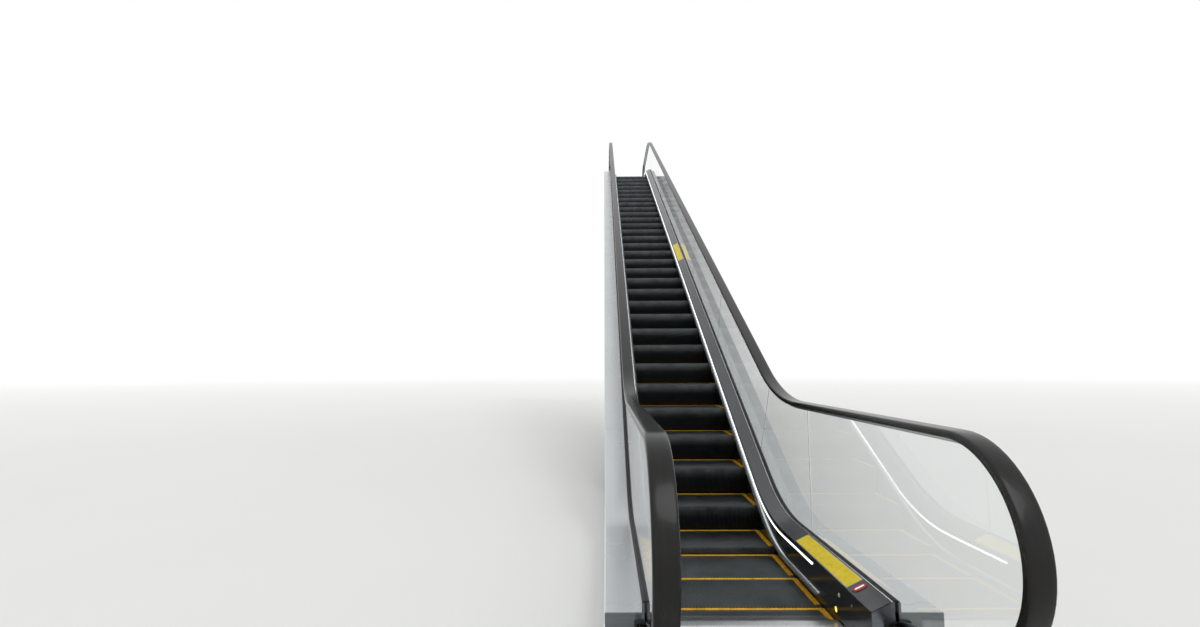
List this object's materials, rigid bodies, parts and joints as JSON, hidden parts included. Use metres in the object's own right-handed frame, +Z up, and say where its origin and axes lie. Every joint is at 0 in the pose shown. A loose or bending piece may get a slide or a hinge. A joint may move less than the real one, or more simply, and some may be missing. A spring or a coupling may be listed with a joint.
{
  "type": "escalator",
  "caption": "Escalator with clear glass balustrades, black handrails, grey cleated steps with yellow edges, lit skirts, steel decks, comb plates and a clad truss up to the upper landing",
  "frame": {"origin": "middle of the steps, straight below the lower comb line, on the flat underside of the lower frame", "axes": "X across the steps, Y up the flight towards the upper landing, Z up"},
  "size_m": [1.391, 16.1006, 7.298],
  "materials": {
    "frame_steel": "matt dark grey paint",
    "truss_steel": "matt grey zinc paint",
    "cladding_steel": "satin brushed stainless sheet",
    "support_steel": "matt dark grey paint",
    "track_steel": "plain rolled steel, worn bright by the rollers",
    "tread_alloy": "dark die-cast alloy with worn bright cleats",
    "edge_yellow": "worn yellow moulded strip",
    "roller_black": "moulded black polyurethane",
    "axle_steel": "turned steel",
    "comb_alloy": "bright satin alloy",
    "plate_steel": "satin ribbed stainless plate",
    "skirt_steel": "dark polished sheet",
    "brush_black": "black nylon bristles in an alloy holder",
    "light_strip": "white lit diffuser",
    "inner_deck_steel": "dark satin sheet",
    "outer_deck_steel": "brushed stainless sheet",
    "clamp_alloy": "mill finish profile",
    "seal_rubber": "black extruded rubber",
    "panel_glass": "clear toughened glass with a green edge",
    "guide_steel": "satin stainless profile",
    "handrail_rubber": "polished black rubber",
    "lamp_red": "glossy red lens",
    "lamp_yellow": "glossy yellow lens"
  },
  "bodies": {
    "root": {"lower_frame": "frame_steel", "upper_frame": "frame_steel", "truss_left": "truss_steel", "truss_right": "truss_steel", "truss_ties": "truss_steel", "side_cladding_left": "cladding_steel", "side_cladding_right": "cladding_steel", "soffit_cladding": "cladding_steel", "upper_end_plate": "cladding_steel", "upper_support": "support_steel", "tracks_left": "track_steel", "tracks_right": "track_steel", "track_brackets": "truss_steel", "steps_lower": "tread_alloy", "steps_middle": "tread_alloy", "steps_upper": "tread_alloy", "step_edges": "edge_yellow", "step_axles": "axle_steel", "step_rollers": "roller_black", "comb_plates": "comb_alloy", "combs": "comb_alloy", "floor_plates": "plate_steel", "skirt_left": "skirt_steel", "skirt_right": "skirt_steel", "skirt_brush_left": "brush_black", "skirt_brush_right": "brush_black", "skirt_lights": "light_strip", "inner_deck_left": "inner_deck_steel", "inner_deck_right": "inner_deck_steel", "glass_clamp_left": "clamp_alloy", "glass_clamp_right": "clamp_alloy", "glass_seals": "seal_rubber", "outer_deck_left": "outer_deck_steel", "outer_deck_right": "outer_deck_steel", "glass_left": "panel_glass", "glass_right": "panel_glass", "handrail_guide_left": "guide_steel", "handrail_guide_right": "guide_steel", "handrail_left": "handrail_rubber", "handrail_right": "handrail_rubber", "clamp_posts": "truss_steel", "end_caps": "outer_deck_steel", "inlet_collars": "seal_rubber", "travel_lamps": "lamp_red", "comb_lamps": "lamp_yellow"}
  },
  "joints": []
}
